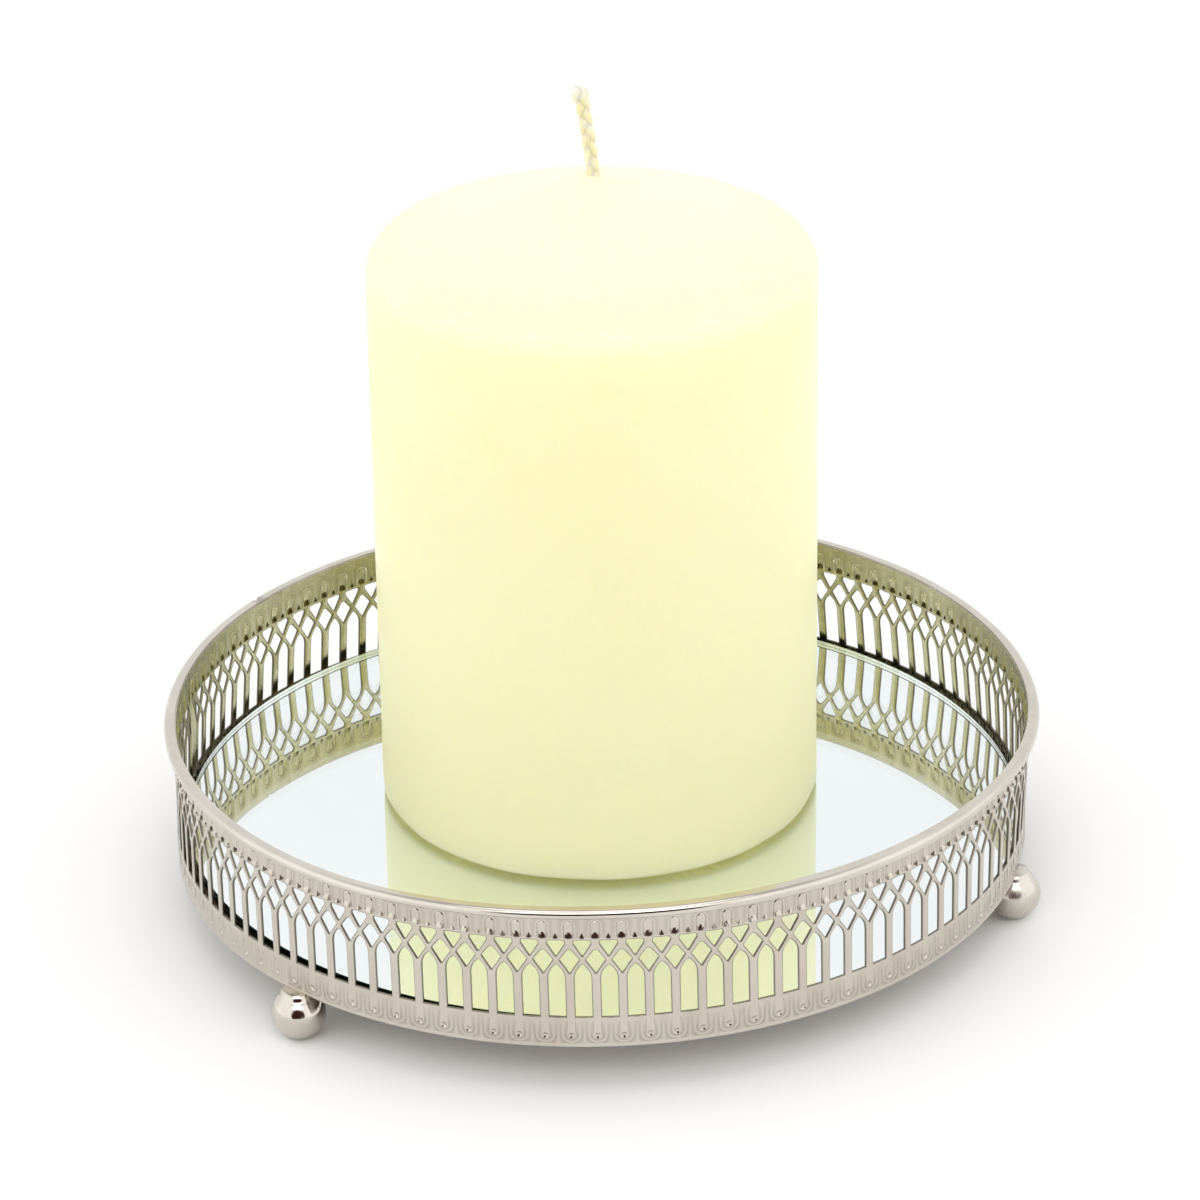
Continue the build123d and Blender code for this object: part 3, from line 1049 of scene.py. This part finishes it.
def make_gallery():
    turn, up, relief, edge, faces = welded(whole_pattern())
    flat_turn = np.mod(turn - first_arch_middle, arch_step) * wall_r / mm
    drop = edge_drop * np.clip(1 - edge / edge_round, 0, 1) ** 2
    clamp = rise(strip_height - 0.9, strip_height - 1.6, up)
    relief = relief * clamp
    # The wall leans with the rim, and its upper band stretches to reach it. The sheet stays plain where
    # the rim grips it
    shape_turn = np.mod(turn + math.pi, 2 * math.pi) - math.pi
    turn = turn + pattern_shift(shape_turn)
    lean = out_of_true(shape_turn) * np.clip((up - lean_from) / lean_reach, 0, 1)
    lean = lean + foot_spread(shape_turn, up)
    stretch = np.clip((up - stretch_from) / stretch_reach, 0, 1)
    level = wall_foot_z + (up + rim_level(shape_turn) * stretch) * mm
    outer = wall_r + (relief - drop + lean) * mm
    inner = wall_r - wall_sheet + (inner_relief * relief + 0.5 * drop + lean) * mm
    points = np.concatenate([on_wall(turn, outer, level), on_wall(turn, inner, level)])
    count = len(turn)
    border = border_edges(faces)
    walls = np.stack([border[:, 1], border[:, 0], border[:, 0] + count, border[:, 1] + count], axis=1)
    all_faces = [*map(tuple, faces), *map(tuple, faces[:, ::-1] + count), *map(tuple, walls)]
    parts = [0] * len(faces) + [1] * len(faces) + [0] * len(walls)
    # A painted dark reflection along the cut edges, painted shade on steep slopes, dirt and painted shade
    # in grooves
    cut = np.clip(1 - edge / edge_round, 0, 1)
    slope = relief_slope(flat_turn - half_pitch, up)
    valley = relief_valley(flat_turn - half_pitch, up)
    steep = np.clip((slope - 0.5) / 0.8, 0, 1)
    dirt_and_shade = np.clip(cut + (painted_slope_shade * steep + valley_dirt_and_shade * valley) * clamp, 0, 1)
    make_piece("gallery_pierced", points, all_faces, [nickel_sheet, nickel_inner_painted_shade], "tray",
               ["gallery_strip"], sharp=28, parts=parts, dirt_and_shade=np.concatenate([dirt_and_shade, dirt_and_shade]))


make_gallery()

# %% [markdown]
# ## The rim
# A binding of bent sheet caps the gallery: a flat flange with its outer edge folded under, and a leg that
# grips the top of the strip. It is drawn as one closed section and swept round, and the two ends stop
# short of each other, as the real ends do.

# %% Sweep the rim
rim_gap_azimuth = math.radians(-125.1)
rim_gap_half = math.radians(0.29)
rim_r = round(rim_high.x / mm, 2)
rim_top = rim_high.z / mm
rim_steps = 400
hem_round = 1.0
flange_inset = 0.1
inner_round = 0.14
# At the right front, given as azimuth and spread in radians, the flange slopes and its edge hangs lower
front_azimuth, front_spread = 0.55, 0.45
front_slope = 0.26
front_hang = 0.4
# How much of the corners is cut back at the butt joint
gap_cut = 0.55
# Dirt and painted shade in the folds of the section, with a painted shadow line under the folded edge, and
# dirt at the two ends
fold_dirt_and_shade = 0.6
end_dirt, end_dirt_reach = 0.5, 0.4


def rim_section():
    # Radius and height in millimetres, once round the section
    strip_r = wall_r / mm
    top = rim_top
    low = top - hem_round
    inner_corner = (strip_r - 0.5 + flange_inset + inner_round, top - inner_round)
    inner = arc_points(inner_corner, inner_round, 180, 90, 4)
    outer = arc_points((rim_r - hem_round, low), hem_round, 90, 0, 12)
    under = arc_points((rim_r - 0.16, low - 0.2), 0.16, 0, -90, 4)
    leg = [(strip_r + 0.6, low - 0.36), (strip_r + 0.55, low - 0.42), (strip_r + 0.55, top - 2.0)]
    foot = arc_points((strip_r + 0.42, top - 2.0), 0.1, 0, -90, 2)
    back = [(strip_r + 0.08, top - 2.1), (strip_r + 0.05, top - 2.05), (strip_r + 0.05, top - 0.6)]
    inside = [(strip_r - 0.3, top - 0.6), (strip_r - 0.5 + flange_inset, top - 0.5)]
    return inner + outer + under + leg + foot + back + inside


def rim_shift(turn):
    # The binding follows the wall. It was bent by hand, so it wanders a few hundredths of a millimetre too
    shape_turn = math.remainder(turn, 2 * math.pi)
    sideways = out_of_true(shape_turn) + 0.03 * math.sin(11 * turn)
    upwards = rim_level(shape_turn) + 0.03 * math.sin(5 * turn + 0.6) + 0.015 * math.sin(17 * turn + 2.0)
    return sideways, upwards


def make_rim():
    section = rim_section()
    edge_low = rim_top - hem_round - 0.36
    start = rim_gap_azimuth + rim_gap_half
    end = rim_gap_azimuth - rim_gap_half + 2 * math.pi
    points, dirt_and_shade = [], []
    for n in range(rim_steps + 1):
        turn = start + (end - start) * n / rim_steps
        from_end = min(turn - start, end - turn) * wall_r / mm
        sideways, upwards = rim_shift(turn)
        front = math.exp(-((math.remainder(turn, 2 * math.pi) - front_azimuth) / front_spread) ** 2)
        for k, (r, z) in enumerate(section):
            inward = max(rim_r - hem_round - r, 0)
            z += front_slope * front * inward if z > rim_top - 0.4 else 0
            z -= front_hang * front if edge_low - 0.01 < z < rim_top - hem_round - 0.1 else 0
            # The outer corners of the two ends are rounded off, so the gap is a small V
            cut_back = gap_cut * max(r - rim_r + 1.4, 0) if n in (0, rim_steps) else 0
            angle = turn + (cut_back if n == 0 else -cut_back) * mm / wall_r
            out = (r + sideways) * mm
            points.append((out * math.sin(angle), -out * math.cos(angle), (z + upwards) * mm))
            # The folds get dirt and painted shade, the two ends only dirt
            fold_dirt_and_shade_here = fold_dirt_and_shade if k < 2 or edge_low - 0.3 < section[k][1] < edge_low + 0.1 else 0.0
            dirt_and_shade.append(max(fold_dirt_and_shade_here, end_dirt * max(0, 1 - from_end / end_dirt_reach)))
    faces = swept_faces(0, rim_steps + 1, len(section))
    make_piece("rim_hemmed", points, faces, [nickel_rim], "tray", ["rim_binding"],
               sharp=50, dirt_and_shade=dirt_and_shade)


make_rim()

# %% [markdown]
# ## Turned pieces
# The mirror, the candle and the ball feet are turned shapes: a profile of radius and height, carried round
# an axis. One helper turns a profile and lets the radius and the height wander a little, because a poured
# candle and a brazed ball are never perfectly true.

# %% Turn a profile


def turned(profile, middle, steps, wander=None):
    # The profile runs from the axis at the bottom to the axis at the top
    rings = [p for p in profile if p[0] > 1e-6]
    points = [(middle.x, middle.y, profile[0][1] * mm)]
    for r, z in rings:
        for n in range(steps):
            turn = 2 * math.pi * n / steps
            dr, dz = wander(r, z, turn) if wander else (0, 0)
            points.append((
                middle.x + (r + dr) * mm * math.cos(turn),
                middle.y + (r + dr) * mm * math.sin(turn),
                (z + dz) * mm,
            ))
    points.append((middle.x, middle.y, profile[-1][1] * mm))
    faces, bands = [], []
    last = len(rings) - 1
    for n in range(steps):
        ahead = (n + 1) % steps
        faces.append((0, 1 + ahead, 1 + n))
        bands.append(0)
        for k in range(last):
            a = 1 + k * steps
            faces.append((a + n, a + ahead, a + steps + ahead, a + steps + n))
            bands.append(k + 1)
        top = 1 + last * steps
        faces.append((top + n, top + ahead, len(points) - 1))
        bands.append(last + 1)
    return points, faces, bands


# %% [markdown]
# ## The pan, the board and the tape
# The bed lies a little askew in the tray, which shows in how the mirror's edge and the reflections sit:
# high at the left back, low at the right front. So the board is a thin wedge, and the edge of the pan and
# the strips of tape follow the same plane. Only a dark line of them shows, between the mirror and the wall.

# %% Settle what stands on the bed
bed_tilt_x = -0.0113
bed_tilt_y = 0.0118
candle_tilt_y = 0.0015


def settled(points, lean_x=bed_tilt_x, lean_y=bed_tilt_y):
    # Tips a piece about the middle of the mirror's face, by less than a degree
    tipped = []
    for x, y, z in points:
        height = z - mirror_z
        tipped.append((x - lean_x * height, y - lean_y * height, z + bed_tilt_x * x + bed_tilt_y * y))
    return tipped


# %% Make the pan
pan_low, pan_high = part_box("base_pan")
board_low, board_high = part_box("backing_board")
tape_low, tape_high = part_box("mirror_tape")
pan_r = pan_high.x / mm
pan_sheet = board_low.z / mm - pan_low.z / mm
pan_bend = 0.5
pan_steps = 192


def make_pan():
    floor_z = pan_low.z / mm
    lip_z = pan_high.z / mm
    inner_r = pan_r - pan_sheet
    outer_bend = arc_points((pan_r - pan_bend, floor_z + pan_bend), pan_bend, -90, 0, 4)
    inner_bend = arc_points((inner_r - 0.25, floor_z + pan_sheet + 0.25), 0.25, 0, -90, 3)
    lip = arc_points((pan_r - pan_sheet / 2, lip_z - pan_sheet / 2), pan_sheet / 2, 0, 180, 6)
    profile = [(0, floor_z), (pan_r * 0.6, floor_z)] + outer_bend + lip + inner_bend
    profile.append((0, floor_z + pan_sheet))
    points, faces, _ = turned(profile, Vector((0, 0, 0)), pan_steps)
    points = with_tilted_top(points, lip_z - pan_sheet)
    make_piece("tray_pan", points, faces, [nickel_sheet], "tray", ["base_pan"])


def with_tilted_top(points, from_z):
    # Only what is above from_z, in millimetres, follows the plane of the bed
    tipped = settled(points)
    return [new if old[2] > from_z * mm else old for old, new in zip(points, tipped)]


make_pan()

# %% Make the board and the tape
board_r = (board_high.x - board_low.x) / 2 / mm
tape_width = 14.0
tape_places = (-42.0, 0.0, 42.0)
tape_steps = 40
tape_inset = 6
tape_wave = 0.12
frayed = 0.12


def board_wander(r, z, turn):
    # The sawn edge of fibreboard is a little frayed
    if r < board_r - 1:
        return 0.0, 0.0
    return -frayed * (0.5 + 0.5 * math.sin(37 * turn + 3 * z) * math.sin(11 * turn + 1)), 0.0


def make_board():
    low, high = board_low.z / mm, board_high.z / mm
    profile = [(0, low), (board_r - 0.2, low), (board_r, low + 0.2), (board_r, (low + high) / 2 - 0.3),
               (board_r, high - 0.2), (board_r - 0.2, high), (0, high)]
    points, faces, _ = turned(profile, Vector((0, 0, 0)), 240, board_wander)
    points = with_tilted_top(points, (low + high) / 2)
    make_piece("bed_board", points, faces, [fibreboard], "tray", ["backing_board"])


def make_tape():
    points, faces = [], []
    for middle_y in tape_places:
        farthest = abs(middle_y) + tape_width / 2
        half_length = math.sqrt(board_r**2 - farthest**2) - tape_inset
        # Round the section once: the two lower corners, then the two upper ones, with soft upper edges
        section = [(-1, 0.0), (1, 0.0), (1, 0.75), (0.985, 1.0), (-0.985, 1.0), (-1, 0.75)]
        first = len(points)
        for n in range(tape_steps + 1):
            x = half_length * (2 * n / tape_steps - 1)
            for side, up in section:
                edge = tape_width / 2 + tape_wave * math.sin(0.35 * x + 2 * middle_y + side)
                z = tape_low.z + (tape_high.z - tape_low.z) * up
                points.append((x * mm, (middle_y + side * edge) * mm, z))
        faces += swept_faces(first, tape_steps + 1, len(section), flip=True)
    make_piece("tape_strips", settled(points), faces, [foam_tape], "tray", ["mirror_tape"])


make_board()
make_tape()

# %% [markdown]
# ## The mirror
# A disc of glass, silvered underneath and ground round its edge. A flat disc with a mirror finish would
# be simpler, but the real one reflects from below the glass, and that depth shows at its edge. So it is
# one turned body with three finishes: clear on top, ground at the edge, silver below.

# %% Make the mirror
mirror_r = (glass_high.x - glass_low.x) / 2 / mm - 0.05
# The silver lies a hair above the tape, so the two never share one plane
mirror_low = glass_low.z / mm + 0.03
mirror_top = glass_high.z / mm
mirror_chamfer_low = 0.06
mirror_chamfer_top = 0.14
mirror_middle = Vector((0.45, 0.12, 0)) * mm


def make_mirror():
    low, top = mirror_chamfer_low, mirror_chamfer_top
    profile = [
        (0, mirror_low), (mirror_r - low, mirror_low), (mirror_r, mirror_low + low),
        (mirror_r, mirror_top - top), (mirror_r - top, mirror_top), (0, mirror_top),
    ]
    points, faces, bands = turned(profile, mirror_middle, 256)
    # The bottom is silvered, the top is clear, and the edge between them is ground
    parts = [{0: 2, 4: 0}.get(band, 1) for band in bands]
    finishes = [clear_glass, glass_edge, silvering]
    make_piece("mirror_disc", settled(points), faces, finishes, "tray", ["mirror_glass"],
               sharp=20, parts=parts)


make_mirror()

# %% [markdown]
# ## The candle
# The pillar was poured and its shoulder smoothed: straight sides, a round shoulder, a low cone, and a
# small rise where wax climbs the wick. Its foot has the thin uneven lip of the mould. It could be sculpted,
# but a turned profile with a few slow waves is closer to what comes out of a mould.

# %% Make the candle
candle_r = (wax_high.x - wax_low.x) / 2 / mm
candle_middle = candle_axis + Vector((-0.8, 0.5, 0)) * mm
candle_tilt_x = -0.0120
candle_foot = wax_low.z / mm
candle_top = wax_high.z / mm
crown_rise = 13.6
crown_extra = 0.9
crown_swell = 0.7
meniscus_rise = 0.6
meniscus_r = 1.2
meniscus_spread = 0.7
shoulder_r = 4.3
foot_round = 0.75
candle_steps = 192
lip_wave = 0.16
lip_inset = 0.12
side_wave = 0.07
crown_wave = 0.10


def candle_profile():
    foot = [(0, candle_foot), (candle_r - 4, candle_foot), (candle_r - foot_round, candle_foot)]
    foot += arc_points((candle_r - foot_round, candle_foot + foot_round), foot_round, -80, -10, 5)
    sides = [(candle_r, candle_foot + z) for z in (1.0, 2.0, 4.0, 8.0)]
    shoulder_z = candle_top - crown_rise
    levels = np.linspace(candle_foot + 12, shoulder_z - 5, 24)
    sides += [(candle_r, z) for z in levels]
    # The round shoulder touches the side and the cone that rises to the middle
    slope = math.atan2(crown_rise, candle_r)
    bend_z = shoulder_z + shoulder_r * (math.tan(slope) - 1 / math.cos(slope))
    bend = arc_points((candle_r - shoulder_r, bend_z), shoulder_r, 0, 90 - math.degrees(slope), 8)
    start_r, start_z = bend[-1]
    cone = []
    for share in np.linspace(0, 1, 24)[1:]:
        r = start_r * (1 - share)
        bulge = crown_swell * math.sin(math.pi * share)
        climb = meniscus_rise * math.exp(-max(r - meniscus_r, 0) / meniscus_spread)
        z = start_z + (candle_top + crown_extra - start_z) * share + bulge + climb
        cone.append((max(r, 0.0), z))
    return foot + sides + bend + cone


def candle_wander(r, z, turn):
    # The wax only ever shrinks away from the mould, so every wave goes inwards or down
    share = min(r / candle_r, 1)
    low = max(0.0, 1 - (z - candle_foot) / 2.5)
    side = side_wave * math.sin(2 * turn + 0.7 + z * 0.02) * math.sin(z * 0.11 + 1.3)
    lip = lip_wave * low * (math.sin(5 * turn + 0.4) + 0.6 * math.sin(13 * turn + 2.1)) - lip_inset * low
    crown = crown_wave * share * math.sin(3 * turn + 1.1) * max(0.0, min(1, (z - candle_top + 16) / 6))
    return (min(side, 0.0) + min(lip, 0.0)) * share, min(crown, 0.0)


def make_candle():
    points, faces, _ = turned(candle_profile(), candle_middle, candle_steps, candle_wander)
    points = settled(points, candle_tilt_x, candle_tilt_y)
    make_piece("candle_pillar", points, faces, [ivory_wax], "candle", ["candle_wax"],
               sharp=60)


make_candle()

# %% [markdown]
# ## The wick
# Braided cotton: three strands that pass over each other in turn, dipped in wax. Hair could give the
# single fibres, but at this size only the strands show, so each is a swept tube.

# %% Braid the wick
strand_r = 0.86
braid_across = 0.46
braid_deep = 0.26
braid_pitch = 9.0
wick_bottom = candle_top - 6
wick_top = wick_high.z / mm
wick_base_x = 0.6
wick_tip_x = -1.95
strand_sides = 10
strand_rings = 72
strand_short = (0.75, 0.95, 1.3)
rounded_rings = 3
fray_ring = 5
fray_extent = 4
fray_extra = 0.32
rib_height = 0.06


def wick_middle(z):
    # Upright in the wax, then leaning over to the left as it rises
    share = max(0.0, (z - candle_top) / (wick_top - candle_top))
    lean = wick_base_x + (wick_tip_x - wick_base_x) * (0.55 * share + 0.45 * share**2)
    return candle_middle + Vector((lean * mm, 0, z * mm))


def make_wick():
    points, faces = [], []
    for strand in range(3):
        start = 2 * math.pi * strand / 3
        levels = np.linspace(wick_bottom, wick_top - strand_short[strand], strand_rings)
        line = []
        for z in levels:
            phase = 2 * math.pi * (z - wick_bottom) / braid_pitch + start
            off = Vector((braid_across * math.sin(phase), braid_deep * math.sin(2 * phase), 0)) * mm
            line.append(wick_middle(z) + off)
        first = len(points)
        for n, here in enumerate(line):
            along = (line[min(n + 1, len(line) - 1)] - line[max(n - 1, 0)]).normalized()
            side = along.cross(Vector((0, 1, 0))).normalized()
            ahead = side.cross(along)
            # The cut end is frayed a little wider, and rounded over with wax
            to_end = len(line) - 1 - n
            taper = math.sqrt(max(0.0, 1 - (1 - min(to_end / rounded_rings, 1)) ** 2)) * 0.85 + 0.15
            taper *= 1 + fray_extra * math.exp(-((to_end - fray_ring) / fray_extent) ** 2)
            for k in range(strand_sides):
                turn = 2 * math.pi * k / strand_sides
                rib = 1 + rib_height * math.sin(3 * turn + n * 0.9)
                outward = side * math.cos(turn) + ahead * math.sin(turn)
                points.append(here + outward * strand_r * taper * rib * mm)
        faces += swept_faces(first, len(line), strand_sides)
    points = settled(points, candle_tilt_x, candle_tilt_y)
    make_piece("wick_braid", points, faces, [waxed_cotton], "candle", ["candle_wick"],
               sharp=60)


make_wick()

# %% [markdown]
# ## The ball feet
# Three plated balls are brazed under the edge. A ball is turned as a profile with the small flat it rests
# on and the fillet of braze at its top. The left one is bright, the right one was handled more and is
# dull and scratched.

# %% Make the ball feet
foot_nodes = {
    "ball_foot_left": nickel_bright,
    "ball_foot_right": nickel_satin,
    "ball_foot_rear": nickel_bright,
}
fillet_r = 2.6
fillet_height = 1.15
worn_flat = 0.1
dent_depth = 0.03


def ball_profile(low, seat, radius):
    # From the flat it rests on, round the ball, and in along the fillet to the pan
    centre = low - worn_flat + radius
    start = math.degrees(math.asin((low - centre) / radius))
    end = math.degrees(math.asin((seat - fillet_height - centre) / radius))
    body = [(radius * math.cos(t), centre + radius * math.sin(t))
            for t in np.radians(np.linspace(start, end, 36))]
    neck_r, neck_z = body[-1]
    neck = []
    for share in np.linspace(0, 1, 7)[1:]:
        r = neck_r + (fillet_r - neck_r) * share * (1 - 0.25 * math.sin(math.pi * share))
        neck.append((r, neck_z + (seat - neck_z) * share))
    return [(0, low)] + body + neck + [(0, seat)]


def ball_wander(r, z, turn):
    dent = math.sin(3 * turn + z * 0.9) * math.sin(2 * turn - z * 1.7 + 1) * dent_depth
    return min(dent, 0.0) * min(r, 1.0), 0.0


for node, finish in foot_nodes.items():
    low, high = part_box(node)
    middle = (low + high) / 2
    radius = (high.x - low.x) / 2 / mm
    profile = ball_profile(low.z / mm, high.z / mm, radius)
    points, faces, _ = turned(profile, middle, 72, ball_wander)
    make_piece(node.replace("ball_foot", "brazed_ball"), points, faces, [finish], "tray", [node],
               sharp=50)
